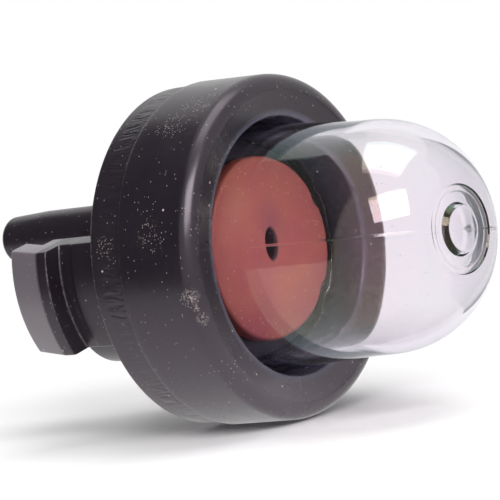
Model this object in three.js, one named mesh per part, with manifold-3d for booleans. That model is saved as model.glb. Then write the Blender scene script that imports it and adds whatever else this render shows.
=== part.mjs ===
// Snap-in primer bulb of a small two-stroke engine, in millimetres.
// The axis of the bulb is +X, out of the dome. The origin is the centre of the flange's rear face,
// which bears on the machine's panel. The snap tabs and the nipples reach back through the panel's hole.
import * as THREE from "three";
import { mergeVertices } from "three/addons/utils/BufferGeometryUtils.js";
import Module from "manifold-3d";

const wasm = await Module();
wasm.setup();

// Clearances between pieces
const CONTACT_GAP = 0.1; // between faces that bear on each other along the axis
const SKIRT_CLEARANCE = 0.3; // radial, round the bulb's clamped flange and round the shelf
const BORE_CLEARANCE = 0.2; // radial, between the dome and the ring's bore
const PILOT_CLEARANCE = 0.25; // radial, between the pilot and the dome's mouth
const STEM_CLEARANCE = 0.1; // radial, round the valve's stem in the seat web

// Retaining ring
const RING_RADIUS = 14.5; // side wall at its front end
const RING_DRAFT = 0.25; // what the radius gains at the joint
const RING_HEIGHT = 7.2;
const RING_WALL = 1.9; // skirt, at its front end
const RING_LIP = 1.7; // how far the front reaches in over the bulb's flange
const RING_EDGE_RADIUS = 1.3;
const RING_FACE_STEP = 0.06; // between the rounded edge and the flat face
const RING_FACE_DISH = 0.5; // how far the face falls towards the bore
const RING_BORE_EDGE = 0.2; // radius of the bore's front edge
const RING_LEDGE_CHAMFER = 0.6; // clears the fillet at the foot of the dome

// Base body: flange, shelf and pilot
const FLANGE_THICKNESS = 3.1;
const FLANGE_INSET = 0.2; // how far the flange stays inside the ring's rear edge
const FLANGE_EDGE = 0.35; // chamfer of its rear edge
const SHELF_HEIGHT = 1.1; // the shelf that the bulb's flange is clamped on
const PILOT_HEIGHT = 2.15; // from the shelf to the valve seat

// Base body: nipples, and the boss round the outlet nipple, which also holds the duckbill's well
const BOSS_RADIUS = 6.0;
const BOSS_LENGTH = 11.0;
const BOSS_EDGE = 0.4;
const NIPPLE_OFFSET = 2.98;
const NIPPLE_RADIUS = 2.36;
const NIPPLE_TIP_RADIUS = 2.11;
const NIPPLE_LENGTH = 20.7; // from the flange's rear face
const NIPPLE_TAPER = 4.6;
const NIPPLE_EDGE_RADIUS = 0.68;
const NIPPLE_BORE_RADIUS = 0.8;

// Base body: snap tabs
const TAB_CLOCKING = THREE.MathUtils.degToRad(11.2);
const TAB_WIDTH = 9.25;
const TAB_RADIUS = 10.75; // passes the panel's hole
const TAB_WALL = 2.0; // at the neck, and behind the ramp where the hook is cored out
const TAB_PAD = 0.1; // the raised pad that centres the part in the hole
const TAB_PAD_LENGTH = 5.3;
const GROOVE_LENGTH = 6.7; // from the flange to the catch face
const CATCH_HEIGHT = 1.7;
const CREST_LENGTH = 1.05;
const RAMP_LENGTH = 4.15;
const RAMP_DROP = 1.35;
const RECESS_START = 1.3; // from the crest back to where the hook is cored out

// Base body: passages
const SEAT_WEB = 1.6; // wall that carries the valve's stem
const WELL_RADIUS = 1.75;
const WELL_DEPTH = 9.4; // from the back of the seat web
const INLET_GROOVE_INNER = 2.4;
const INLET_GROOVE_OUTER = 4.6;
const INLET_GROOVE_DEPTH = 0.6;

// Bulb
const BULB_WALL = 1.1;
const BULB_FLANGE_THICKNESS = 1.6;
const BULB_FILLET = 0.5; // at the foot of the dome
const DOME_LENGTH = 8.2; // straight stretch in front of the ring
const DOME_TAPER = 1.1; // what the radius loses from the foot to the shoulder
const CAP_LENGTH = 9.3;
const CAP_POWER = 2.18; // of the superellipse that the cap follows, 2 being an ellipse
const GATE_PAD_RADIUS = 3.8;
const GATE_PAD_LIP = 0.45;
const GATE_PAD_SINK = 0.12;
const GATE_NUB_RADIUS = 2.0;
const GATE_NUB_TOP_RADIUS = 1.4;
const GATE_NUB_HEIGHT = 0.75;

// Combination valve
const UMBRELLA_RADIUS = 7.95;
const UMBRELLA_THICKNESS = 0.95;
const UMBRELLA_EDGE = 0.5; // thickness at the rim
const UMBRELLA_DIMPLE = 2.3; // radius of the funnel round the hole
const UMBRELLA_DIMPLE_DEPTH = 0.45;
const VALVE_HOLE_RADIUS = 0.75;
const STEM_RADIUS = 1.25;
const STEM_BEAD = 0.3; // how far the retaining bead stands out of the stem
const STEM_BEAD_LENGTH = 0.8;
const DUCKBILL_LENGTH = 4.2;
const DUCKBILL_LIP = 0.7; // thickness over both lips at the tip

// Faceting
const TURN_STEPS = 64;
const SMALL_STEPS = 28;

// Stations along the axis, worked out from the values above
const jointX = FLANGE_THICKNESS;
const ringRearX = jointX + CONTACT_GAP;
const ringFrontX = ringRearX + RING_HEIGHT;
const shelfX = jointX + SHELF_HEIGHT;
const bulbFootX = shelfX + CONTACT_GAP;
const bulbFlangeX = bulbFootX + BULB_FLANGE_THICKNESS;
const ringLedgeX = bulbFlangeX + CONTACT_GAP;
const seatX = shelfX + PILOT_HEIGHT;
const shoulderX = ringFrontX + DOME_LENGTH;
const bossRearX = -BOSS_LENGTH;
const nippleEndX = -NIPPLE_LENGTH;
const crestRearX = -GROOVE_LENGTH - CREST_LENGTH;
const tabRearX = crestRearX - RAMP_LENGTH;
const webBackX = seatX - SEAT_WEB;
const wellEndX = webBackX - WELL_DEPTH;

// Radii that follow from their neighbours
const ringRearRadius = RING_RADIUS + RING_DRAFT;
const flangeRadius = ringRearRadius - FLANGE_INSET;
const skirtRadius = RING_RADIUS - RING_WALL;
const bulbFlangeRadius = skirtRadius - SKIRT_CLEARANCE;
const shelfRadius = bulbFlangeRadius;
const ringBoreRadius = skirtRadius - RING_LIP;
const domeFootRadius = ringBoreRadius - BORE_CLEARANCE;
const shoulderRadius = domeFootRadius - DOME_TAPER;
const mouthRadius = domeFootRadius - BULB_WALL;
const pilotRadius = mouthRadius - PILOT_CLEARANCE;
const tabCrestRadius = TAB_RADIUS + CATCH_HEIGHT;
const tabRearRadius = tabCrestRadius - RAMP_DROP;
const webHoleRadius = STEM_RADIUS + STEM_CLEARANCE;

// Points of an arc in the (radius, axis) plane, from one angle to another, in degrees.
function arc(centreR, centreX, radius, from, to, steps) {
  return Array.from({ length: steps + 1 }, (_, i) => {
    const a = THREE.MathUtils.degToRad(from + ((to - from) * i) / steps);
    return [centreR + radius * Math.cos(a), centreX + radius * Math.sin(a)];
  });
}

// A closed profile of [radius, station] pairs, turned about the axis, which is +Y until the part is laid down.
function turned(profile, steps = TURN_STEPS) {
  const points = profile.map(([r, x]) => new THREE.Vector2(r, x));
  return new THREE.LatheGeometry(points, steps);
}

// A turned profile that starts and ends off the axis closes on its first point.
function turnedRing(profile, steps = TURN_STEPS) {
  return turned([...profile, profile[0]], steps);
}

function solid(geometry) {
  const bare = geometry.clone();
  bare.deleteAttribute("normal");
  bare.deleteAttribute("uv");
  const merged = mergeVertices(bare, 1e-4);
  return new wasm.Manifold(
    new wasm.Mesh({
      numProp: 3,
      vertProperties: merged.attributes.position.array,
      triVerts: new Uint32Array(merged.index.array),
    }),
  );
}

function geometryOf(body) {
  const mesh = body.getMesh();
  const geometry = new THREE.BufferGeometry();
  geometry.setAttribute("position", new THREE.BufferAttribute(mesh.vertProperties, 3));
  geometry.setIndex(new THREE.BufferAttribute(mesh.triVerts, 1));
  geometry.computeVertexNormals();
  return geometry;
}

// A straight pin or bore between two stations, at an offset across the nipples.
function rod(radius, fromX, toX, offset = 0, steps = SMALL_STEPS) {
  const profile = [[0, fromX], [radius, fromX], [radius, toX], [0, toX]];
  return solid(turned(profile, steps).translate(0, 0, offset));
}

// A slab between two stations, given by its widths along and across the tabs.
function slab(along, across, fromX, toX) {
  const box = new THREE.BoxGeometry(along, toX - fromX, across);
  return solid(box.translate(0, (fromX + toX) / 2, 0));
}

// Retaining ring: a drafted skirt, a rounded front edge, a dished face and the bore that the dome stands in.
function retainingRing() {
  const edge = arc(RING_RADIUS - RING_EDGE_RADIUS, ringFrontX - RING_EDGE_RADIUS, RING_EDGE_RADIUS, 0, 90, 6);
  const faceRadius = RING_RADIUS - RING_EDGE_RADIUS;
  const boreFrontX = ringFrontX - RING_FACE_DISH;
  const lip = arc(ringBoreRadius + RING_BORE_EDGE, boreFrontX - RING_BORE_EDGE, RING_BORE_EDGE, 90, 180, 2);
  return turnedRing([
    [skirtRadius, ringRearX],
    [ringRearRadius, ringRearX],
    ...edge,
    [faceRadius - RING_FACE_STEP, ringFrontX - RING_FACE_STEP],
    ...lip,
    [ringBoreRadius, ringLedgeX + RING_LEDGE_CHAMFER],
    [ringBoreRadius + RING_LEDGE_CHAMFER, ringLedgeX],
    [skirtRadius, ringLedgeX],
  ]);
}

// Where the cap has a given radius.
function capStation(radius, capRadius, capLength) {
  return shoulderX + capLength * (1 - (radius / capRadius) ** CAP_POWER) ** (1 / CAP_POWER);
}

// Points of a cap from the shoulder in to a given radius, evenly spaced round the turn.
function capPoints(capRadius, capLength, endRadius, steps) {
  const end = Math.acos(endRadius / capRadius);
  return Array.from({ length: steps + 1 }, (_, i) => {
    const r = capRadius * Math.cos((end * i) / steps);
    return [r, capStation(r, capRadius, capLength)];
  });
}

// Bulb: a clamped flange, the dome, and the round gate mark at its tip with the nub that the gate leaves.
function bulb() {
  const padEdge = GATE_PAD_RADIUS + GATE_PAD_LIP;
  const padX = capStation(padEdge, shoulderRadius, CAP_LENGTH);
  const floorX = padX - GATE_PAD_SINK;
  const innerShoulder = shoulderRadius - BULB_WALL;
  const innerCap = CAP_LENGTH - BULB_WALL - (shoulderX + CAP_LENGTH - floorX) / 2;
  const foot = arc(domeFootRadius + BULB_FILLET, bulbFlangeX + BULB_FILLET, BULB_FILLET, 270, 180, 3);
  return turned([
    [0, shoulderX + innerCap],
    ...capPoints(innerShoulder, innerCap, 0.6, 9).reverse(),
    [mouthRadius, bulbFlangeX],
    [mouthRadius, bulbFootX],
    [bulbFlangeRadius, bulbFootX],
    [bulbFlangeRadius, bulbFlangeX],
    ...foot,
    ...capPoints(shoulderRadius, CAP_LENGTH, padEdge, 9),
    [GATE_PAD_RADIUS, floorX],
    [GATE_NUB_RADIUS, floorX],
    [GATE_NUB_TOP_RADIUS, floorX + GATE_NUB_HEIGHT],
    [0, floorX + GATE_NUB_HEIGHT],
  ]);
}

// Combination valve: the umbrella over the inlet groove, and a stem that ends in a duckbill in the well.
function combinationValve() {
  const backX = seatX + CONTACT_GAP;
  const frontX = backX + UMBRELLA_THICKNESS;
  const beadX = webBackX - CONTACT_GAP;
  const beadRadius = STEM_RADIUS + STEM_BEAD;
  const neckX = beadX - STEM_BEAD_LENGTH;
  const tipX = neckX - DUCKBILL_LENGTH;
  const body = solid(
    turned([
      [0, tipX],
      [STEM_RADIUS, tipX],
      [STEM_RADIUS, neckX],
      [beadRadius, neckX + STEM_BEAD_LENGTH / 2],
      [beadRadius, beadX],
      [STEM_RADIUS, beadX],
      [STEM_RADIUS, backX],
      [UMBRELLA_RADIUS, backX],
      [UMBRELLA_RADIUS, backX + UMBRELLA_EDGE],
      [UMBRELLA_RADIUS - UMBRELLA_EDGE, frontX],
      [UMBRELLA_DIMPLE, frontX],
      [VALVE_HOLE_RADIUS, frontX - UMBRELLA_DIMPLE_DEPTH],
      [0, frontX - UMBRELLA_DIMPLE_DEPTH],
    ], 48),
  );
  const wedge = new THREE.Shape([
    new THREE.Vector2(-DUCKBILL_LIP / 2, tipX),
    new THREE.Vector2(DUCKBILL_LIP / 2, tipX),
    new THREE.Vector2(STEM_RADIUS, neckX),
    new THREE.Vector2(STEM_RADIUS, beadX),
    new THREE.Vector2(UMBRELLA_RADIUS + 1, beadX),
    new THREE.Vector2(UMBRELLA_RADIUS + 1, frontX + 1),
    new THREE.Vector2(-UMBRELLA_RADIUS - 1, frontX + 1),
    new THREE.Vector2(-UMBRELLA_RADIUS - 1, beadX),
    new THREE.Vector2(-STEM_RADIUS, beadX),
    new THREE.Vector2(-STEM_RADIUS, neckX),
  ]);
  const depth = 2 * UMBRELLA_RADIUS + 2;
  const bill = new THREE.ExtrudeGeometry(wedge, { depth, bevelEnabled: false });
  const passage = rod(VALVE_HOLE_RADIUS, neckX, frontX, 0, 20);
  return geometryOf(body.intersect(solid(bill.translate(0, 0, -depth / 2))).subtract(passage));
}

// The flange, the shelf and the pilot in front of the panel, and the boss behind it.
function baseCore() {
  const front = solid(
    turned([
      [0, 0],
      [flangeRadius - FLANGE_EDGE, 0],
      [flangeRadius, FLANGE_EDGE],
      [flangeRadius, jointX],
      [shelfRadius, jointX],
      [shelfRadius, shelfX],
      [pilotRadius, shelfX],
      [pilotRadius, seatX],
      [0, seatX],
    ]),
  );
  const boss = solid(
    turned([
      [0, bossRearX],
      [BOSS_RADIUS - BOSS_EDGE, bossRearX],
      [BOSS_RADIUS, bossRearX + BOSS_EDGE],
      [BOSS_RADIUS, jointX / 2],
      [0, jointX / 2],
    ]).translate(0, 0, -NIPPLE_OFFSET),
  );
  return front.add(boss);
}

// Both snap tabs: a turned collar with its catch, crest and ramp, kept only between two parallel sides.
// Behind the ramp the hook is cored out from inside, so that its wall is as thick as the neck's.
function snapTabs() {
  const inner = TAB_RADIUS - TAB_WALL;
  const rampRadius = tabCrestRadius - (RAMP_DROP * RECESS_START) / RAMP_LENGTH;
  const collar = turnedRing([
    [inner, jointX / 2],
    [inner, crestRearX - RECESS_START],
    [rampRadius - TAB_WALL, crestRearX - RECESS_START],
    [tabRearRadius - TAB_WALL, tabRearX],
    [tabRearRadius, tabRearX],
    [tabCrestRadius, crestRearX],
    [tabCrestRadius, -GROOVE_LENGTH],
    [TAB_RADIUS, -GROOVE_LENGTH],
    [TAB_RADIUS, -TAB_PAD_LENGTH],
    [TAB_RADIUS + TAB_PAD, -TAB_PAD_LENGTH + TAB_PAD],
    [TAB_RADIUS + TAB_PAD, jointX / 2],
  ], 96);
  return solid(collar).intersect(slab(4 * tabCrestRadius, TAB_WIDTH, tabRearX - 1, jointX));
}

// One nipple: straight, then tapered to a rounded end.
function nipple(offset) {
  const edge = NIPPLE_EDGE_RADIUS;
  const tip = arc(NIPPLE_TIP_RADIUS - edge, nippleEndX + edge, edge, 270, 360, 4);
  const profile = [[0, nippleEndX], ...tip, [NIPPLE_RADIUS, nippleEndX + NIPPLE_TAPER], [NIPPLE_RADIUS, 0], [0, 0]];
  return solid(turned(profile, SMALL_STEPS).translate(0, 0, offset));
}

// The passages: the inlet runs to a groove under the umbrella, and the outlet leaves the duckbill's well.
function passages() {
  const inlet = rod(NIPPLE_BORE_RADIUS, nippleEndX - 1, seatX - INLET_GROOVE_DEPTH / 2, NIPPLE_OFFSET, 16);
  const groove = solid(
    turnedRing([
      [INLET_GROOVE_INNER, seatX - INLET_GROOVE_DEPTH],
      [INLET_GROOVE_OUTER, seatX - INLET_GROOVE_DEPTH],
      [INLET_GROOVE_OUTER, seatX + 1],
      [INLET_GROOVE_INNER, seatX + 1],
    ], 48),
  );
  const webHole = rod(webHoleRadius, webBackX - 1, seatX + 1, 0, 20);
  const well = rod(WELL_RADIUS, wellEndX, webBackX, 0, 20);
  const outlet = rod(NIPPLE_BORE_RADIUS, nippleEndX - 1, wellEndX + 2 * NIPPLE_BORE_RADIUS, -NIPPLE_OFFSET, 16);
  const link = new THREE.BoxGeometry(2 * NIPPLE_BORE_RADIUS, 2 * NIPPLE_BORE_RADIUS, NIPPLE_OFFSET);
  link.translate(0, wellEndX + NIPPLE_BORE_RADIUS, -NIPPLE_OFFSET / 2);
  return [inlet, groove, webHole, well, outlet, solid(link)];
}

function baseBody() {
  const solids = [baseCore(), snapTabs(), nipple(NIPPLE_OFFSET), nipple(-NIPPLE_OFFSET)];
  const whole = solids.reduce((sum, piece) => sum.add(piece));
  return geometryOf(passages().reduce((rest, cut) => rest.subtract(cut), whole));
}

function named(name, geometry, color, roughness, extra = {}) {
  const material = new THREE.MeshStandardMaterial({ color, roughness, metalness: 0, ...extra });
  const mesh = new THREE.Mesh(geometry, material);
  mesh.name = name;
  return mesh;
}

// The tabs and nipples are clocked about the axis as the part was snapped in.
const clocked = new THREE.Group();
clocked.rotation.y = TAB_CLOCKING;
clocked.add(
  named("base_body", baseBody(), 0x141215, 0.42),
  named("combination_valve", combinationValve(), 0xb5564b, 0.55),
);

const primerBulb = new THREE.Group();
primerBulb.rotation.z = -Math.PI / 2;
primerBulb.add(
  clocked,
  named("bulb", bulb(), 0xeae6ea, 0.06, { transparent: true, opacity: 0.3 }),
  named("retaining_ring", retainingRing(), 0x151316, 0.35),
);

export default primerBulb;
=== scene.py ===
"""Studio picture of a snap-in primer bulb: clear dome, black bezel ring, red valve and barbed snap tabs.

The bulb's axis is +X. Sizes are in millimetres and become metres as each mesh is made.
"""
import math

import bmesh
import bpy
import numpy as np
from mathutils import Matrix, Vector

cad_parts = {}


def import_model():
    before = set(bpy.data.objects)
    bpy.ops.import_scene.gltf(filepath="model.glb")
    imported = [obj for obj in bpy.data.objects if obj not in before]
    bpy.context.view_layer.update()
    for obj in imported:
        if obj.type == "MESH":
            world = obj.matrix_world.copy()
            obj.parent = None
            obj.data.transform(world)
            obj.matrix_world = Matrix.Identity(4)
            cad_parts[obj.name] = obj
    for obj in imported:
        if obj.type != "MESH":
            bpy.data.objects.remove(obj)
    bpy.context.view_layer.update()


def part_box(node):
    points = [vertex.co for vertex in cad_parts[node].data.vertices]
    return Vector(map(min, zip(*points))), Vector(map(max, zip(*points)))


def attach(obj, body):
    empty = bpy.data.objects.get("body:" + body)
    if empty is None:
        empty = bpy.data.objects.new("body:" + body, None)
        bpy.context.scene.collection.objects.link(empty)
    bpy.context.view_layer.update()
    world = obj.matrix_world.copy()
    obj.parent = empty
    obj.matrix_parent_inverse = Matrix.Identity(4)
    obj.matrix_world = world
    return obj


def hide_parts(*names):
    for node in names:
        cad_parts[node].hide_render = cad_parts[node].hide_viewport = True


MM = 0.001


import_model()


def node_box(name):
    """A CAD node's lowest and highest corners, in millimetres."""
    low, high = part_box(name)
    return np.array(low) / MM, np.array(high) / MM


base_low, base_high = node_box("base_body")
ring_low, ring_high = node_box("retaining_ring")
bulb_low = node_box("bulb")[0]
valve_low, valve_high = node_box("combination_valve")

# Sizes of the ring
RING_REAR_R = ring_high[2]
RING_FRONT_R = RING_REAR_R - 0.25
RING_REAR_X = ring_low[0]
RING_FRONT_X = ring_high[0]
RING_EDGE = 1.3
RING_DISH = 0.5
BORE_R = 10.9
SKIRT_R = 12.6
LEDGE_X = 6.0
RING_UNEVEN = 0.012

# Sizes of the base body
JOINT_X = RING_REAR_X
WELD_BEAD = 0.08
FLANGE_R = RING_REAR_R - 0.2
FLANGE_INSET = 0.035
FLANGE_UNEVEN = 0.010
WRINKLE_HEIGHT = 0.062
WRINKLE_ROWS = 19
SHELF_X = 4.2
SHELF_R = 12.3
PILOT_R = 9.35
SEAT_X = base_high[0]
BOSS_R = 6.0
BOSS_REAR_X = -11.0
BOSS_EDGE = 0.4
NIPPLE_END_X = base_low[0]
NIPPLE_OFFSET = 2.98
NIPPLE_R = 2.36
NIPPLE_TIP_R = 2.11
NIPPLE_BORE_R = 0.8
NIPPLE_TAPER = 4.6
TAB_CLOCKING = math.radians(11.2)
TAB_WIDTH = 9.25
TAB_R = 10.75
TAB_PAD = 0.1
TAB_PAD_X = -5.3
TAB_INNER_R = 8.75
GROOVE_X = -6.7
CREST_R = 12.45
CREST_X = -7.75
RECESS_X = -9.05
RECESS_R = 10.03
TAB_REAR_X = -11.9
TAB_REAR_R = 11.1
TAB_REAR_INNER_R = 9.1

# Sizes of the bulb
BULB_FOOT_X = bulb_low[0]
BULB_FLANGE_X = 5.9
BULB_FLANGE_R = 12.3
DOME_FOOT_R = 10.7
FOOT_WALL = 1.1
DOME_WALL = 0.75
SHOULDER_X = RING_FRONT_X + 8.2
SHOULDER_R = 9.6
CAP_LENGTH = 9.3
CAP_POWER = 2.18
POLE_WALL = 1.45
POLE_WALL_R = 7.5
SKIN_WAVE = 0.003
SEAM_HEIGHT = 0.05
SEAM_WIDTH = 0.06
SEAM_ANGLE = math.radians(174.7)
GATE_SHIFT = 1.4
GATE_R = 3.6
GATE_FLOOR_X = 27.12
GATE_TILT = 0.129
NUB_R = 2.05
NUB_HEIGHT = 0.38

# Sizes of the valve
UMBRELLA_R = valve_high[2]
UMBRELLA_FRONT_X = 7.85
UMBRELLA_BACK_X = SEAT_X + 0.1
HOLE_SQUEEZE = 0.4
HOLE_RISE = 0.3
STEM_R = 1.9
STEM_X = 4.65
STEM_COLLAR_R = 2.15
BILL_X = 3.85
BILL_R = 1.8
BILL_SQUEEZE = 0.8


def arc_steps(radius, turn):
    """How many steps an arc has: more for a wider turn and a larger radius."""
    return max(3, int(math.ceil(abs(turn) * max(radius, 0.05) ** 0.5 * 9)))


def rounded(corners, longest=1.2):
    """A profile through corners (x, r, fillet): each corner becomes an arc tangent to both its sides,
    and the straight stretches are cut into pieces no longer than a given length."""
    pts = np.array([c[:2] for c in corners], float)
    fillets = [c[2] if len(c) > 2 else 0.0 for c in corners]
    line = [pts[0]]
    for i in range(1, len(pts) - 1):
        back, ahead = pts[i - 1] - pts[i], pts[i + 1] - pts[i]
        back /= np.linalg.norm(back)
        ahead /= np.linalg.norm(ahead)
        half = math.acos(max(-1.0, min(1.0, float(back @ ahead)))) / 2
        if not fillets[i] or half > math.pi / 2 - 0.01:
            line.append(pts[i])
            continue
        reach = fillets[i] / math.tan(half)
        middle = (back + ahead) / np.linalg.norm(back + ahead)
        centre = pts[i] + middle * fillets[i] / math.sin(half)
        first = pts[i] + back * reach - centre
        last = pts[i] + ahead * reach - centre
        turn = math.atan2(first[0] * last[1] - first[1] * last[0], float(first @ last))
        steps = arc_steps(fillets[i], turn)
        for k in range(steps + 1):
            a = turn * k / steps
            c, s = math.cos(a), math.sin(a)
            line.append(centre + np.array([c * first[0] - s * first[1], s * first[0] + c * first[1]]))
    line.append(pts[-1])
    fine = [line[0]]
    for a, b in zip(line, line[1:]):
        n = max(1, int(math.ceil(np.linalg.norm(b - a) / longest)))
        fine += [a + (b - a) * k / n for k in range(1, n + 1)]
    return np.array(fine)


def surface(name, grid, wrap_rows=False, sharp=40):
    """Makes a mesh piece from a grid of points whose columns go once round and close, and whose rows
    either start and end at a pole or close on themselves. Lengths are millimetres."""
    rows, cols, _ = grid.shape
    index = np.arange(rows * cols).reshape(rows, cols)
    nxt = np.roll(index, -1, axis=1)
    top, bottom = (index, np.roll(index, -1, axis=0)) if wrap_rows else (index[:-1], index[1:])
    ntop, nbottom = (nxt, np.roll(nxt, -1, axis=0)) if wrap_rows else (nxt[:-1], nxt[1:])
    quads = np.stack([top, ntop, nbottom, bottom], -1).reshape(-1, 4)
    mesh = bpy.data.meshes.new(name)
    mesh.from_pydata((grid.reshape(-1, 3) * MM).tolist(), [], quads.tolist())
    work = bmesh.new()
    work.from_mesh(mesh)
    bmesh.ops.remove_doubles(work, verts=work.verts, dist=1e-8)
    bmesh.ops.dissolve_degenerate(work, edges=work.edges, dist=1e-9)
    bmesh.ops.recalc_face_normals(work, faces=work.faces)
    work.to_mesh(mesh)
    work.free()
    mesh.polygons.foreach_set("use_smooth", [True] * len(mesh.polygons))
    mesh.set_sharp_from_angle(angle=math.radians(sharp))
    piece = bpy.data.objects.new(name, mesh)
    bpy.context.scene.collection.objects.link(piece)
    return piece


def turned_grid(profile, angles, swell=None):
    """The profile (x, r) carried round the axis: point = (x, r cos a, r sin a), with r changed by
    swell(x, r, a) where that is given."""
    x = profile[:, 0][:, None] + 0 * angles[None]
    r = profile[:, 1][:, None] + 0 * angles[None]
    if swell:
        r = r + swell(x, r, angles[None] + 0 * x)
    return np.stack([x, r * np.cos(angles), r * np.sin(angles)], -1)


def round_angles(count):
    return np.linspace(0, 2 * np.pi, count, endpoint=False)


def clock(points):
    """Turns points given as (x, along the tabs, across them) to the tabs' clocking about the axis."""
    x, u, v = points[..., 0], points[..., 1], points[..., 2]
    c, s = math.cos(TAB_CLOCKING), math.sin(TAB_CLOCKING)
    return np.stack([x, -c * u - s * v, -s * u + c * v], -1)


def ripple(seed, waves, lowest, highest):
    """A smooth wavy function of the angle: a sum of sines with seeded whole-number frequencies."""
    draw = np.random.default_rng(seed)
    counts = draw.integers(lowest, highest, waves)
    phases = draw.uniform(0, 2 * np.pi, waves)
    return lambda a: sum(np.sin(n * a + p) for n, p in zip(counts, phases)) / math.sqrt(waves)


def smooth(t):
    """0 below 0, 1 above 1 and t t (3 - 2 t) between."""
    t = np.clip(t, 0, 1)
    return t * t * (3 - 2 * t)


def random_heights(seed, round_cells, long_cells, a, t):
    """Smooth random heights from -1 to 1 over cells round the axis (by the angle a) and along it (by t,
    0 to 1): the values at a cell's four corners, blended by smooth() of the place in the cell."""
    corner = np.random.default_rng(seed).uniform(-1, 1, (round_cells, long_cells + 2))
    u, v = (a / (2 * np.pi) % 1) * round_cells, np.clip(t, 0, 1) * long_cells
    i, j = np.floor(u).astype(int), np.floor(v).astype(int)
    fu, fv = smooth(u - i), smooth(v - j)
    i, k = i % round_cells, (i + 1) % round_cells
    low = corner[i, j] * (1 - fu) + corner[k, j] * fu
    high = corner[i, j + 1] * (1 - fu) + corner[k, j + 1] * fu
    return low * (1 - fv) + high * fv


def retaining_ring():
    """The bezel: a turned profile with a drafted side, a rounded edge, a small step and a dished face.
    Its side is out of round by a few hundredths of a millimetre."""
    face_r = RING_FRONT_R - RING_EDGE
    corners = [
        (RING_REAR_X, SKIRT_R),
        (RING_REAR_X, RING_REAR_R, 0.12),
        (RING_FRONT_X, RING_FRONT_R + 0.04, RING_EDGE),
        (RING_FRONT_X, face_r, 0.03),
        (RING_FRONT_X - 0.07, face_r - 0.05, 0.03),
        (RING_FRONT_X - RING_DISH, BORE_R + 0.1, 0.1),
        (RING_FRONT_X - RING_DISH - 0.15, BORE_R, 0.1),
        (LEDGE_X + 0.6, BORE_R, 0.05),
        (LEDGE_X, BORE_R + 0.6, 0.05),
        (LEDGE_X, SKIRT_R, 0.1),
        (RING_REAR_X, SKIRT_R),
    ]
    profile = rounded(corners, 0.5)[:-1]
    wave = ripple(3, 7, 2, 11)

    def swell(x, r, a):
        return -RING_UNEVEN * (1 + wave(a)) * (r > SKIRT_R + 0.5)

    return surface("bezel_ring", turned_grid(profile, round_angles(512), swell), wrap_rows=True, sharp=50)


def base_flange():
    """The flange with its shelf and pilot. Its side is wrinkled next to the weld: short folds along the
    axis, with height 1 - 2 |n| for random heights n, in cells far narrower than they are long."""
    side = np.array([(x, FLANGE_R) for x in np.linspace(0.4, JOINT_X - 0.22, WRINKLE_ROWS)])
    rear = rounded([(0, 0), (0, FLANGE_R, 0.35), side[0]], 2.0)
    front = rounded([
        side[-1],
        (JOINT_X - 0.12, FLANGE_R + WELD_BEAD, 0.05),
        (JOINT_X, FLANGE_R + WELD_BEAD, 0.03),
        (JOINT_X, SHELF_R, 0.1),
        (SHELF_X, SHELF_R, 0.1),
        (SHELF_X, PILOT_R, 0.1),
        (SEAT_X, PILOT_R, 0.1),
        (SEAT_X, 0),
    ], 2.0)
    profile = np.concatenate([rear, side[1:-1], front])
    slow, fade = ripple(5, 6, 2, 9), ripple(13, 5, 3, 12)

    def swell(x, r, a):
        t = x / JOINT_X
        warp = a + 0.012 * random_heights(31, 110, 3, a, t) + 0.02 * random_heights(32, 40, 2, a, t)
        start = 0.30 + 0.05 * slow(a) + 0.05 * random_heights(35, 150, 1, a, t)
        band = smooth((t - start) / 0.18) * smooth((0.94 - t) / 0.08)
        narrow = 1 - 2 * np.abs(random_heights(33, 400, 2, warp, t))
        wide = 1 - 2 * np.abs(random_heights(34, 230, 3, warp, t))
        folds = (0.6 + 0.3 * fade(a)) * (0.6 * narrow + 0.4 * wide) - 0.2
        uneven = -FLANGE_INSET - FLANGE_UNEVEN * slow(a)
        return (r > FLANGE_R - 0.03) * (uneven + WRINKLE_HEIGHT * band * folds)

    count = 1300
    return surface("base_flange", turned_grid(profile, round_angles(count), swell), sharp=60)


def boss():
    """The round boss round the lower nipple, with a rounded rear edge."""
    profile = rounded([(0.5, 0), (0.5, BOSS_R), (BOSS_REAR_X, BOSS_R, BOSS_EDGE), (BOSS_REAR_X, 0)], 1.0)
    grid = turned_grid(profile, round_angles(256))
    grid[..., 2] -= NIPPLE_OFFSET
    return surface("base_boss", clock(grid))


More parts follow.
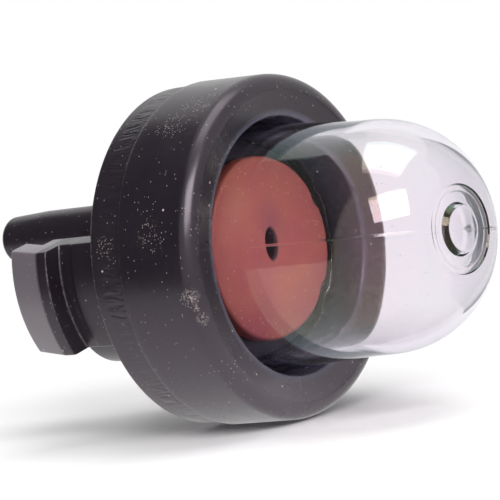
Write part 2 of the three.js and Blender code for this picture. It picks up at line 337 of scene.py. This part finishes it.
def snap_tab(name, side):
    """A snap tab: sections between an inner and an outer arc with rounded corners, carried back along
    the axis while the outer arc follows pad, groove, catch, crest and ramp and the hook is cored out."""
    outer = rounded([
        (1.0, TAB_R + TAB_PAD),
        (TAB_PAD_X, TAB_R + TAB_PAD, 0.15),
        (TAB_PAD_X - 0.12, TAB_R, 0.15),
        (GROOVE_X, TAB_R, 0.22),
        (GROOVE_X, CREST_R, 0.15),
        (CREST_X, CREST_R, 0.45),
        (TAB_REAR_X, TAB_REAR_R, 0.22),
        (TAB_REAR_X, TAB_REAR_INNER_R + 0.5),
    ], 0.4)
    at = int(np.argmax(outer[:, 0] < RECESS_X))
    step = np.interp(RECESS_X, outer[at - 1:at + 1, 0][::-1], outer[at - 1:at + 1, 1][::-1])
    outer = np.insert(outer, [at, at], [(RECESS_X, step)] * 2, axis=0)
    slope = (RECESS_R - TAB_REAR_INNER_R) / (RECESS_X - TAB_REAR_X)
    inner = np.where(np.arange(len(outer)) <= at, TAB_INNER_R, RECESS_R + slope * (outer[:, 0] - RECESS_X))
    corner = 0.16
    steps = 24
    t = np.linspace(0, np.pi / 2, 5)
    half = TAB_WIDTH / 2
    rings = []
    for (x, r_out), r_in in zip(outer, inner):
        wall = max(r_out - r_in, 0.05)
        ca, cb = corner / half, min(corner / wall, 0.45)
        there = np.linspace(1 - ca, ca - 1, steps)[1:-1]
        back = np.linspace(ca - 1, 1 - ca, steps)[1:-1]
        a = np.concatenate([
            1 - ca + ca * np.sin(t), 1 - ca + ca * np.cos(t), there,
            ca - 1 - ca * np.sin(t), ca - 1 - ca * np.cos(t), back,
        ])
        b = np.concatenate([
            cb - cb * np.cos(t), 1 - cb + cb * np.sin(t), np.ones(len(there)),
            1 - cb + cb * np.cos(t), cb - cb * np.sin(t), np.zeros(len(back)),
        ])
        v = half * a
        u = np.sqrt((r_in + wall * b) ** 2 - v * v)
        rings.append(np.stack([0 * v + x, side * u, side * v], -1))
    rings = np.array(rings)
    start, end = rings[:1] * 1.0, rings[-1:] * 1.0
    start[...] = rings[0].mean(0)
    end[...] = rings[-1].mean(0)
    return surface(name, clock(np.concatenate([start, rings, end])), sharp=35)


def nipple(name, offset):
    """A hose nipple: a turned profile with a taper, a rounded end and a blind bore."""
    profile = rounded([
        (0.5, 0),
        (0.5, NIPPLE_R),
        (NIPPLE_END_X + NIPPLE_TAPER, NIPPLE_R, 2.0),
        (NIPPLE_END_X, NIPPLE_TIP_R, 0.68),
        (NIPPLE_END_X, NIPPLE_BORE_R, 0.15),
        (BOSS_REAR_X - 1, NIPPLE_BORE_R),
        (BOSS_REAR_X - 1, 0),
    ], 0.8)
    grid = turned_grid(profile, round_angles(128))
    grid[..., 2] += offset
    return surface(name, clock(grid), sharp=50)


def combination_valve():
    """The silicone valve: an umbrella with an oval hole, and a stem that flattens to a duckbill. Near
    the hole y is scaled by 0.6 and z moved up; along the bill y is pressed to a wedge."""
    tip_x = valve_low[0]
    front = UMBRELLA_FRONT_X
    profile = rounded([
        (front - 2.2, 0),
        (front - 2.0, 1.1, 0.2),
        (front - 0.35, 1.25, 0.2),
        (front - 0.02, 1.5, 0.25),
        (front, 4.0, 1.0),
        (front - 0.06, UMBRELLA_R, 0.3),
        (UMBRELLA_BACK_X, UMBRELLA_R, 0.1),
        (UMBRELLA_BACK_X, STEM_R, 0.1),
        (STEM_X, STEM_R, 0.1),
        (STEM_X, STEM_COLLAR_R, 0.15),
        (BILL_X, STEM_R, 0.15),
        (tip_x, BILL_R, 0.1),
        (tip_x, 0),
    ], 0.35)
    grid = turned_grid(profile, round_angles(256))
    hole = 1 - smooth((profile[:, 1] - 1.5) / 1.5)
    hole = hole * (profile[:, 0] > UMBRELLA_BACK_X - 0.5)
    hole = (hole * (np.arange(len(profile)) < len(profile) / 2))[:, None]
    grid[..., 1] *= 1 - HOLE_SQUEEZE * hole
    grid[..., 2] += HOLE_RISE * hole
    grid[..., 1] *= 1 - BILL_SQUEEZE * np.clip((BILL_X - grid[..., 0]) / (BILL_X - tip_x), 0, 1)
    return surface("valve_disc", grid, sharp=50)


def seam_angles():
    """Angles round the dome, close together at the two mould seams."""
    even = np.linspace(0, 2 * np.pi, 300, endpoint=False)
    close = np.linspace(-0.03, 0.03, 13)
    both = np.concatenate([even, SEAM_ANGLE + close, SEAM_ANGLE - np.pi + close])
    return np.unique(np.round(both % (2 * np.pi), 6))


def cap_x(r):
    """Where the cap reaches radius r: x = shoulder + L (1 - (r / R)^n)^(1/n)."""
    return SHOULDER_X + CAP_LENGTH * (1 - np.minimum(r / SHOULDER_R, 1) ** CAP_POWER) ** (1 / CAP_POWER)


def cap_normal(x, r):
    """The cap's outward normal (x, r) parts: the gradient of ((x - s) / L)^n + (r / R)^n."""
    n = np.stack([(np.maximum(x - SHOULDER_X, 0) / CAP_LENGTH) ** (CAP_POWER - 1) / CAP_LENGTH,
                  (r / SHOULDER_R) ** (CAP_POWER - 1) / SHOULDER_R], -1)
    return n / np.linalg.norm(n, axis=-1, keepdims=True)


def seam_ridge(y, z):
    """The mould seam's height: h exp(-(s / w)^2), with s the distance from the seam's plane."""
    s = z * math.cos(SEAM_ANGLE) - y * math.sin(SEAM_ANGLE)
    return SEAM_HEIGHT * np.exp(-((s / SEAM_WIDTH) ** 2))


def dome():
    """The clear bulb as one closed surface: the inner skin from its pole to the mouth, the clamped foot,
    the outer skin up to the gate mark, and the gate mark with its nub. Both skins of the cap follow
    one superellipse, the inner one moved in by the wall along the normal, and are slightly wavy. The
    outer skin's circles shift sideways as they shrink, so that the last one is the gate mark's."""
    angles = seam_angles()
    wave_a, wave_b = ripple(21, 5, 2, 7), ripple(22, 6, 3, 10)

    turn = np.linspace(0.0, math.acos(0.05), 50)
    outer_r = SHOULDER_R * np.cos(turn)
    normal = cap_normal(cap_x(outer_r), outer_r)
    wall = DOME_WALL + (POLE_WALL - DOME_WALL) * smooth(1 - outer_r / POLE_WALL_R)
    inner_cap = np.stack([cap_x(outer_r), outer_r], -1) - wall[:, None] * normal
    t = np.linspace(0, 1, 26)[1:]
    taper_x = SHOULDER_X + (BULB_FLANGE_X - SHOULDER_X) * t
    taper_r = SHOULDER_R + (DOME_FOOT_R - SHOULDER_R) * t ** 1.3
    inner_taper = np.stack([taper_x, taper_r - DOME_WALL - (FOOT_WALL - DOME_WALL) * t], -1)
    outer_taper = np.stack([taper_x, taper_r], -1)[:-3][::-1]
    mouth_r = DOME_FOOT_R - FOOT_WALL
    foot = rounded([
        inner_taper[-1], (BULB_FOOT_X, mouth_r, 0.1), (BULB_FOOT_X, BULB_FLANGE_R, 0.15),
        (BULB_FLANGE_X, BULB_FLANGE_R, 0.15), (BULB_FLANGE_X, DOME_FOOT_R, 0.45), outer_taper[0],
    ], 0.6)
    inside = np.concatenate([[(inner_cap[-1, 0], 0.0)], inner_cap[::-1], inner_taper])

    def inner_wave(x, r, a):
        return SKIN_WAVE * wave_b(a - 0.1 * x) * np.clip(r / 6, 0, 1) * (x > RING_FRONT_X - 2)

    def outer_wave(x, r, a):
        ridge = seam_ridge(r * np.cos(a), r * np.sin(a)) * (x > RING_FRONT_X)
        return ridge + SKIN_WAVE * wave_a(a + 0.12 * x) * (x > RING_FRONT_X - 2)

    lower = [turned_grid(inside, angles, inner_wave), turned_grid(foot[1:-1], angles),
             turned_grid(outer_taper, angles, outer_wave)]

    turn = np.linspace(0, math.acos(GATE_R / SHOULDER_R), 56)
    circle_r = (SHOULDER_R * np.cos(turn))[:, None]
    shift = GATE_SHIFT * smooth((SHOULDER_R - circle_r) / (SHOULDER_R - GATE_R))
    y = shift * math.cos(SEAM_ANGLE) + circle_r * np.cos(angles)
    z = shift * math.sin(SEAM_ANGLE) + circle_r * np.sin(angles)
    r = np.hypot(y, z)
    x = cap_x(r)
    n = cap_normal(x, r)
    fade = smooth((circle_r - GATE_R) / 0.4)
    wave = SKIN_WAVE * wave_a(np.arctan2(z, y) + 0.12 * SHOULDER_X) * np.clip(r / 6, 0, 1)
    out = seam_ridge(y, z) * fade + wave
    cap = np.stack([x + n[..., 0] * out, y * (1 + n[..., 1] * out / r), z * (1 + n[..., 1] * out / r)], -1)

    mark = rounded([
        (0.14, GATE_R), (0.0, GATE_R - 0.1, 0.08), (0.0, GATE_R - 0.42, 0.05), (0.05, GATE_R - 0.5, 0.05),
        (0.05, GATE_R - 0.56, 0.05), (0.0, GATE_R - 0.62, 0.05), (-0.03, NUB_R + 0.12, 0.12),
        (NUB_HEIGHT, NUB_R - 0.22, 0.16), (NUB_HEIGHT - 0.04, 1.1, 0.6), (NUB_HEIGHT - 0.12, 0),
    ], 0.2)[1:]
    across = mark[:, 1][:, None] * np.cos(angles - SEAM_ANGLE)
    gate = np.stack([
        GATE_FLOOR_X + mark[:, 0][:, None] - GATE_TILT * across,
        GATE_SHIFT * math.cos(SEAM_ANGLE) + mark[:, 1][:, None] * np.cos(angles),
        GATE_SHIFT * math.sin(SEAM_ANGLE) + mark[:, 1][:, None] * np.sin(angles),
    ], -1)
    return surface("clear_dome", np.concatenate(lower + [cap, gate]), sharp=60)


def material(name):
    """A new material with its nodes, links and shader, and the object's own coordinates."""
    made = bpy.data.materials.new(name)
    made.use_nodes = True
    nodes, links = made.node_tree.nodes, made.node_tree.links
    shader = nodes["Principled BSDF"]
    coords = nodes.new("ShaderNodeTexCoord").outputs["Object"]
    return made, nodes, links, shader, coords


def noise(nodes, links, coords, scale, detail=4.0, roughness=0.55):
    """Noise whose scale is the number of features in a metre."""
    n = nodes.new("ShaderNodeTexNoise")
    n.inputs["Scale"].default_value = scale
    n.inputs["Detail"].default_value = detail
    n.inputs["Roughness"].default_value = roughness
    links.new(coords, n.inputs["Vector"])
    return n.outputs["Fac"]


def remap(nodes, links, value, low, high, to_low, to_high):
    m = nodes.new("ShaderNodeMapRange")
    m.inputs["From Min"].default_value = low
    m.inputs["From Max"].default_value = high
    m.inputs["To Min"].default_value = to_low
    m.inputs["To Max"].default_value = to_high
    links.new(value, m.inputs["Value"])
    return m.outputs["Result"]


def math_node(nodes, links, kind, a, b=0.0):
    m = nodes.new("ShaderNodeMath")
    m.operation = kind
    for socket, value in zip(m.inputs, (a, b)):
        if isinstance(value, (int, float)):
            socket.default_value = value
        else:
            links.new(value, socket)
    return m.outputs[0]


def blend_colour(nodes, links, factor, a, b):
    """Colour a where the factor is 0 and b where it is 1. The mix node's colour sockets are inputs 6
    and 7 and output 2."""
    m = nodes.new("ShaderNodeMix")
    m.data_type = "RGBA"
    links.new(factor, m.inputs["Factor"])
    for socket, value in ((m.inputs[6], a), (m.inputs[7], b)):
        if isinstance(value, tuple):
            socket.default_value = (*value, 1)
        else:
            links.new(value, socket)
    return m.outputs[2]


def bump(nodes, links, height, strength, distance, normal=None):
    b = nodes.new("ShaderNodeBump")
    b.inputs["Strength"].default_value = strength
    b.inputs["Distance"].default_value = distance
    links.new(height, b.inputs["Height"])
    if normal is not None:
        links.new(normal, b.inputs["Normal"])
    return b.outputs["Normal"]


def stretched(nodes, links, coords, factors):
    """Coordinates times a factor for each axis; a small factor draws a texture out along its axis."""
    m = nodes.new("ShaderNodeMapping")
    m.inputs["Scale"].default_value = factors
    links.new(coords, m.inputs["Vector"])
    return m.outputs["Vector"]


def near_point(nodes, links, coords, where, inner, outer):
    """1 within the inner distance of a point and 0 beyond the outer one. Lengths are millimetres."""
    d = nodes.new("ShaderNodeVectorMath")
    d.operation = "DISTANCE"
    d.inputs[1].default_value = [v * MM for v in where]
    links.new(coords, d.inputs[0])
    return remap(nodes, links, d.outputs["Value"], outer * MM, inner * MM, 0, 1)


def line_at(nodes, links, value, centre, width):
    """1 where the value is at its centre, falling to 0 a width away. Lengths are millimetres."""
    off = math_node(nodes, links, "ABSOLUTE", math_node(nodes, links, "SUBTRACT", value, centre * MM))
    return remap(nodes, links, off, width * MM, 0, 0, 1)


def x_z_and_radius(nodes, links, coords):
    """A point's x, its z and its distance from the axis."""
    split = nodes.new("ShaderNodeSeparateXYZ")
    links.new(coords, split.inputs[0])
    yy = math_node(nodes, links, "MULTIPLY", split.outputs["Y"], split.outputs["Y"])
    zz = math_node(nodes, links, "MULTIPLY", split.outputs["Z"], split.outputs["Z"])
    radius = math_node(nodes, links, "SQRT", math_node(nodes, links, "ADD", yy, zz))
    return split.outputs["X"], split.outputs["Z"], radius


def dust(nodes, links, coords, scale, size, share):
    """Specks near the centres of random cells of a Voronoi pattern: 1 in the given share of the cells
    and 0 elsewhere."""
    cells = nodes.new("ShaderNodeTexVoronoi")
    cells.inputs["Scale"].default_value = scale
    links.new(coords, cells.inputs["Vector"])
    near = remap(nodes, links, cells.outputs["Distance"], size, size * 0.5, 0, 1)
    split = nodes.new("ShaderNodeSeparateColor")
    links.new(cells.outputs["Color"], split.inputs[0])
    chosen = math_node(nodes, links, "LESS_THAN", split.outputs[0], share)
    return math_node(nodes, links, "MULTIPLY", near, chosen)


def black_plastic(name, roughness, dusty, scuffed, edges, painted_light_areas, turned):
    """Black moulded plastic, faintly purple: fine texture, turning lines, uneven gloss, fine dust that
    gathers at the dusty places (place, reach), scuffs at the scuffed ones, pale lines along the edges
    as a painted highlight, broken up by noise, each given as (x, width, radius, width), and areas
    lightened by painted reflection and painted light, where x, r or z runs from its start to full."""
    made, nodes, links, shader, coords = material(name)
    x, z, r = x_z_and_radius(nodes, links, coords)
    grime = noise(nodes, links, coords, 260, 6, 0.6)
    fine = noise(nodes, links, coords, 9000, 3)
    share = remap(nodes, links, noise(nodes, links, coords, 150, 3), 0.50, 0.72, 0.025, 0.16)
    for where, reach in dusty:
        near = near_point(nodes, links, coords, where, 0.5, reach)
        share = math_node(nodes, links, "MAXIMUM", share, math_node(nodes, links, "MULTIPLY", near, 0.9))
    specks = dust(nodes, links, coords, 5200, 0.36, share)
    coarse = dust(nodes, links, coords, 900, 0.11, 0.14)
    wear_and_edge_highlight = math_node(nodes, links, "MAXIMUM", math_node(nodes, links, "MULTIPLY", specks, 0.5), coarse)
    scratch = remap(nodes, links, noise(nodes, links, coords, 5200, 4, 0.7), 0.50, 0.62, 0, 1)
    for where, reach in scuffed:
        mark = math_node(nodes, links, "MULTIPLY", near_point(nodes, links, coords, where, 0.1, reach), scratch)
        wear_and_edge_highlight = math_node(nodes, links, "MAXIMUM", wear_and_edge_highlight, math_node(nodes, links, "MULTIPLY", mark, 0.9))
    # painted highlight: pale lines along the given edges, broken up by noise
    edge_breakup = remap(nodes, links, noise(nodes, links, coords, 2600, 4, 0.7), 0.42, 0.66, 0.0, 1)
    for edge_x, wide_x, edge_r, wide_r in edges:
        both = math_node(nodes, links, "MULTIPLY", line_at(nodes, links, x, edge_x, wide_x),
                         line_at(nodes, links, r, edge_r, wide_r))
        edge_highlight = math_node(nodes, links, "MULTIPLY", math_node(nodes, links, "MULTIPLY", both, edge_breakup), 0.30)
        wear_and_edge_highlight = math_node(nodes, links, "MAXIMUM", wear_and_edge_highlight, edge_highlight)
    body = blend_colour(nodes, links, grime, (0.0072, 0.0050, 0.0085), (0.0120, 0.0092, 0.0130))
    # painted reflection and painted light: the base colour lightened where x, r or z runs from its start to full
    for value, start, full, colour in painted_light_areas:
        place = {"x": x, "r": r, "z": z}[value]
        amount = remap(nodes, links, place, start * MM, full * MM, 0, 1)
        body = blend_colour(nodes, links, amount, body, colour)
    links.new(blend_colour(nodes, links, wear_and_edge_highlight, body, (0.42, 0.36, 0.34)), shader.inputs["Base Color"])
    shader.inputs["Specular Tint"].default_value = (1.0, 0.88, 0.98, 1)
    gloss = remap(nodes, links, grime, 0.3, 0.7, roughness - 0.04, roughness + 0.06)
    links.new(gloss, shader.inputs["Roughness"])
    lines = noise(nodes, links, stretched(nodes, links, coords, (1, 0.05, 0.05)), 7000, 3)
    lined = bump(nodes, links, lines, turned, 0.00003)
    links.new(bump(nodes, links, fine, 0.10, 0.00002, lined), shader.inputs["Normal"])
    return made


def red_silicone():
    """Salmon-red silicone: soft and matt, mottled between orange and purple red, lighter and more
    orange towards the top as painted light, with a painted purple reflection above the hole, dusty,
    and dark purple in its hole as painted shade."""
    made, nodes, links, shader, coords = material("red_silicone")
    x, z, r = x_z_and_radius(nodes, links, coords)
    mottle = remap(nodes, links, noise(nodes, links, coords, 230, 3), 0.35, 0.65, 0, 1)
    body = blend_colour(nodes, links, mottle, (0.42, 0.090, 0.098), (0.48, 0.125, 0.092))
    # painted light: the upper half lighter and more orange, as lit from above
    upper = remap(nodes, links, z, 0.0, 0.008, 0, 0.5)
    body = blend_colour(nodes, links, upper, body, (0.50, 0.140, 0.085))
    # painted reflection: a dark purple patch just above the hole
    purple = near_point(nodes, links, coords, (UMBRELLA_FRONT_X, 0.3, 2.1), 0.4, 2.6)
    purple = math_node(nodes, links, "MULTIPLY", purple, 0.55)
    body = blend_colour(nodes, links, purple, body, (0.26, 0.065, 0.11))
    # painted shade: dark purple down inside the hole
    depth = remap(nodes, links, x, (UMBRELLA_FRONT_X - 0.03) * MM, (UMBRELLA_FRONT_X - 0.2) * MM, 0, 1)
    hole = math_node(nodes, links, "MULTIPLY", depth, remap(nodes, links, r, 0.0025, 0.0019, 0, 1))
    body = blend_colour(nodes, links, hole, body, (0.035, 0.008, 0.022))
    specks = dust(nodes, links, coords, 2200, 0.16, 0.22)
    specks = math_node(nodes, links, "MULTIPLY", specks, 0.7)
    links.new(blend_colour(nodes, links, specks, body, (0.8, 0.55, 0.5)), shader.inputs["Base Color"])
    shader.inputs["Roughness"].default_value = 0.5
    shader.inputs["Subsurface Weight"].default_value = 0.15
    shader.inputs["Subsurface Radius"].default_value = (0.0008, 0.0003, 0.0002)
    links.new(bump(nodes, links, noise(nodes, links, coords, 5000, 3), 0.08, 0.00003), shader.inputs["Normal"])
    return made


def clear_polymer():
    """Clear flexible polymer: faintly violet in its depth, with a film that tints its reflections, painted
    shade that greys its far side and underside, fine scratches, specks and a haze of wear."""
    made, nodes, links, shader, coords = material("clear_polymer")
    shader.inputs["IOR"].default_value = 1.49
    shader.inputs["Transmission Weight"].default_value = 1.0
    split = nodes.new("ShaderNodeSeparateXYZ")
    links.new(coords, split.inputs[0])
    # painted shade: the far side (y above 4.5 mm) and the underside (z below -5 mm) tinted greyer and more
    # violet, darkening the rim
    far = math_node(nodes, links, "MAXIMUM", remap(nodes, links, split.outputs["Y"], 0.0045, 0.0096, 0, 1),
                    remap(nodes, links, split.outputs["Z"], -0.0050, -0.0092, 0, 1))
    tint = blend_colour(nodes, links, far, (1.0, 0.992, 0.998), (0.955, 0.915, 0.955))
    links.new(tint, shader.inputs["Base Color"])
    shader.inputs["Thin Film Thickness"].default_value = 420
    shader.inputs["Thin Film IOR"].default_value = 1.43
    wear = noise(nodes, links, coords, 900, 6, 0.7)
    links.new(remap(nodes, links, wear, 0.50, 0.8, 0.025, 0.10), shader.inputs["Roughness"])
    links.new(bump(nodes, links, noise(nodes, links, coords, 300, 2), 0.015, 0.0002), shader.inputs["Normal"])
    specks = dust(nodes, links, coords, 1300, 0.10, 0.16)
    grey = nodes.new("ShaderNodeBsdfDiffuse")
    grey.inputs["Color"].default_value = (0.45, 0.40, 0.42, 1)
    mix = nodes.new("ShaderNodeMixShader")
    links.new(math_node(nodes, links, "MULTIPLY", specks, 0.8), mix.inputs[0])
    links.new(shader.outputs[0], mix.inputs[1])
    links.new(grey.outputs[0], mix.inputs[2])
    links.new(mix.outputs[0], nodes["Material Output"].inputs["Surface"])
    depth = nodes.new("ShaderNodeVolumeAbsorption")
    depth.inputs["Color"].default_value = (0.52, 0.40, 0.62, 1)
    depth.inputs["Density"].default_value = 110
    links.new(depth.outputs[0], nodes["Material Output"].inputs["Volume"])
    return made


def put(piece, skin):
    """Gives a piece its material and its body."""
    piece.data.materials.append(skin)
    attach(piece, "root")
    return piece


BEZEL = black_plastic(
    "bezel_plastic", 0.25,
    dusty=[
        ((6.6, -14.4, 3.0), 1.7), ((6.3, -9.3, 11.4), 2.0),
        ((7.7, -7.1, 12.4), 2.2), ((9.5, -14.2, -2.5), 1.0),
    ],
    scuffed=[((9.6, -14.1, -2.2), 0.8), ((10.2, -13.7, -4.2), 0.7), ((9.8, -13.9, -3.2), 0.35)],
    # painted highlight: pale lines along the ring's rear outer edge and the edge of its bore
    edges=[
        (RING_REAR_X + 0.03, 0.09, RING_REAR_R - 0.05, 0.12),
        (RING_FRONT_X - 0.55, 0.10, BORE_R + 0.05, 0.12),
    ],
    # painted reflection: lighter towards the bottom, where the floor would be mirrored; painted light: the bore
    # lighter and bluer
    painted_light_areas=[("z", -1.0, -13.0, (0.065, 0.055, 0.065)), ("r", 11.6, 10.9, (0.085, 0.085, 0.120))],
    turned=0.12,
)
BODY = black_plastic(
    "body_plastic", 0.31,
    dusty=[((1.6, -14.5, 2.4), 1.2)],
    scuffed=[((-9.4, -5.6, 3.5), 0.7)],
    # painted highlight: a pale line along the flange's rear edge
    edges=[(0.16, 0.12, FLANGE_R - 0.08, 0.14)],
    # painted reflection: lighter towards the bottom, where the floor would be mirrored
    painted_light_areas=[("z", -1.0, -13.0, (0.065, 0.055, 0.065))],
    turned=0.05,
)
TAB = black_plastic(
    "tab_plastic", 0.31, dusty=[], scuffed=[],
    # painted highlight: pale lines along the two edges of the catch face at the groove
    edges=[(GROOVE_X - 0.05, 0.10, CREST_R - 0.05, 0.12), (GROOVE_X + 0.05, 0.10, TAB_R + 0.05, 0.12)],
    # painted reflection: lighter towards the bottom, and lighter on the ramp behind the crest
    painted_light_areas=[
        ("z", -1.0, -13.0, (0.050, 0.042, 0.050)),
        ("x", CREST_X + 0.1, CREST_X - 0.3, (0.125, 0.108, 0.123)),
    ],
    turned=0.05,
)
RED = red_silicone()
CLEAR = clear_polymer()

ring = put(retaining_ring(), BEZEL)
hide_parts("retaining_ring")
for part, skin in (
    (base_flange(), BODY),
    (boss(), BODY),
    (snap_tab("snap_tab_near", 1), TAB),
    (snap_tab("snap_tab_far", -1), TAB),
    (nipple("nipple_upper", NIPPLE_OFFSET), BODY),
    (nipple("nipple_lower", -NIPPLE_OFFSET), BODY),
):
    put(part, skin)
    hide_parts("base_body")
valve = put(combination_valve(), RED)
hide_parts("combination_valve")
clear = put(dome(), CLEAR)
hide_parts("bulb")

# Camera, fitted to the edges in the photograph
CAMERA_AZIMUTH = math.radians(-53.22)
CAMERA_ELEVATION = math.radians(3.35)
CAMERA_ROLL = math.radians(-7.97)
CAMERA_DISTANCE = 180.3
CAMERA_ASIDE = (-3.38, -0.24)
CAMERA_TARGET_X = 10.0
FOCAL_PIXELS = 2151.5
IMAGE_PIXELS = 500
PRINCIPAL_POINT = (253.2, 248.2)
SENSOR_MM = 36.0


def place_camera():
    ce, se = math.cos(CAMERA_ELEVATION), math.sin(CAMERA_ELEVATION)
    back = Vector((ce * math.cos(CAMERA_AZIMUTH), ce * math.sin(CAMERA_AZIMUTH), se))
    right = Vector((0, 0, 1)).cross(back).normalized()
    up = back.cross(right)
    cr, sr = math.cos(CAMERA_ROLL), math.sin(CAMERA_ROLL)
    right, up = cr * right + sr * up, cr * up - sr * right
    where = Vector((CAMERA_TARGET_X, 0, 0)) + CAMERA_DISTANCE * back
    where = where + CAMERA_ASIDE[0] * right + CAMERA_ASIDE[1] * up
    data = bpy.data.cameras.new("camera")
    data.sensor_width = SENSOR_MM
    data.lens = FOCAL_PIXELS / IMAGE_PIXELS * SENSOR_MM
    data.shift_x = (IMAGE_PIXELS / 2 - PRINCIPAL_POINT[0]) / IMAGE_PIXELS
    data.shift_y = (PRINCIPAL_POINT[1] - IMAGE_PIXELS / 2) / IMAGE_PIXELS
    data.clip_start = 0.01
    camera = bpy.data.objects.new("camera", data)
    turn = Matrix((right, up, back)).transposed().to_4x4()
    camera.matrix_world = Matrix.Translation(where * MM) @ turn
    bpy.context.scene.collection.objects.link(camera)
    bpy.context.scene.camera = camera


def pale_floor():
    """A pale round floor under the ring, which fades into the white background at its rim."""
    radius = 0.45
    a = round_angles(96)
    rim = np.stack([radius * np.cos(a), radius * np.sin(a), 0 * a - RING_REAR_R * MM], -1)
    mesh = bpy.data.meshes.new("floor")
    mesh.from_pydata(rim.tolist(), [], [list(range(len(a)))])
    floor = bpy.data.objects.new("floor", mesh)
    bpy.context.scene.collection.objects.link(floor)
    made, nodes, links, shader, coords = material("pale_floor")
    shader.inputs["Base Color"].default_value = (0.93, 0.92, 0.925, 1)
    shader.inputs["Roughness"].default_value = 0.7
    length = nodes.new("ShaderNodeVectorMath")
    length.operation = "LENGTH"
    links.new(coords, length.inputs[0])
    fade = remap(nodes, links, length.outputs["Value"], 0.03, 0.13, 0, 1)
    path = nodes.new("ShaderNodeLightPath")
    mirrored = math_node(nodes, links, "MULTIPLY", path.outputs["Is Glossy Ray"], 0.9)
    fade = math_node(nodes, links, "MAXIMUM", fade, mirrored)
    clear_away = nodes.new("ShaderNodeBsdfTransparent")
    mix = nodes.new("ShaderNodeMixShader")
    links.new(fade, mix.inputs[0])
    links.new(shader.outputs[0], mix.inputs[1])
    links.new(clear_away.outputs[0], mix.inputs[2])
    links.new(mix.outputs[0], nodes["Material Output"].inputs["Surface"])
    floor.data.materials.append(made)


def aimed(where):
    """The turn that points an object's -Z axis from a place to the middle of the ring."""
    return (Vector((0.008, 0, 0)) - Vector(where)).to_track_quat("-Z", "Y").to_euler()


def direction(azimuth, elevation, distance):
    a, e = math.radians(azimuth), math.radians(elevation)
    return (distance * math.cos(e) * math.cos(a), distance * math.cos(e) * math.sin(a), distance * math.sin(e))


def dark_card(where, size, mirrored=True):
    """A matt grey card that only reflections or the clear bulb's refraction show."""
    w, h = size[0] / 2, size[1] / 2
    mesh = bpy.data.meshes.new("dark_card")
    mesh.from_pydata([(-w, -h, 0), (w, -h, 0), (w, h, 0), (-w, h, 0)], [], [(0, 1, 2, 3)])
    card = bpy.data.objects.new("dark_card", mesh)
    card.location = where
    card.rotation_euler = aimed(where)
    card.visible_camera = False
    card.visible_diffuse = False
    card.visible_shadow = False
    card.visible_glossy = mirrored
    bpy.context.scene.collection.objects.link(card)
    made, nodes, links, shader, coords = material("dark_card")
    shader.inputs["Base Color"].default_value = (0.15, 0.145, 0.16, 1)
    shader.inputs["Roughness"].default_value = 0.9
    card.data.materials.append(made)


def world(fill):
    """White to the camera, in reflections and through the clear bulb, and a softer fill on matt surfaces."""
    made = bpy.data.worlds.new("studio")
    bpy.context.scene.world = made
    made.use_nodes = True
    nodes, links = made.node_tree.nodes, made.node_tree.links
    background = nodes["Background"]
    path = nodes.new("ShaderNodeLightPath")
    seen = math_node(nodes, links, "MAXIMUM", path.outputs["Is Camera Ray"], path.outputs["Is Transmission Ray"])
    seen = math_node(nodes, links, "MAXIMUM", seen, path.outputs["Is Glossy Ray"])
    links.new(remap(nodes, links, seen, 0, 1, fill, 1), background.inputs["Strength"])
    background.inputs["Color"].default_value = (1, 1, 1, 1)


def softbox(name, where, size, radiance):
    """A rectangular lamp aimed at the object; radiance 1 looks as bright as the white background."""
    data = bpy.data.lights.new(name, "AREA")
    data.shape = "RECTANGLE"
    data.size, data.size_y = size
    data.energy = radiance * 4 * size[0] * size[1]
    lamp = bpy.data.objects.new(name, data)
    lamp.location = where
    lamp.rotation_euler = aimed(where)
    bpy.context.scene.collection.objects.link(lamp)


place_camera()
pale_floor()
world(0.5)
dark_card(direction(-142, 27, 0.36), (0.62, 0.62))
dark_card(direction(68, 5, 0.42), (0.36, 0.60), mirrored=False)
softbox("key_softbox", direction(-38, 30, 0.5), (0.36, 0.22), 7.5)
softbox("top_softbox", direction(20, 75, 0.5), (0.34, 0.34), 2.6)

bpy.context.scene.view_settings.view_transform = "Standard"
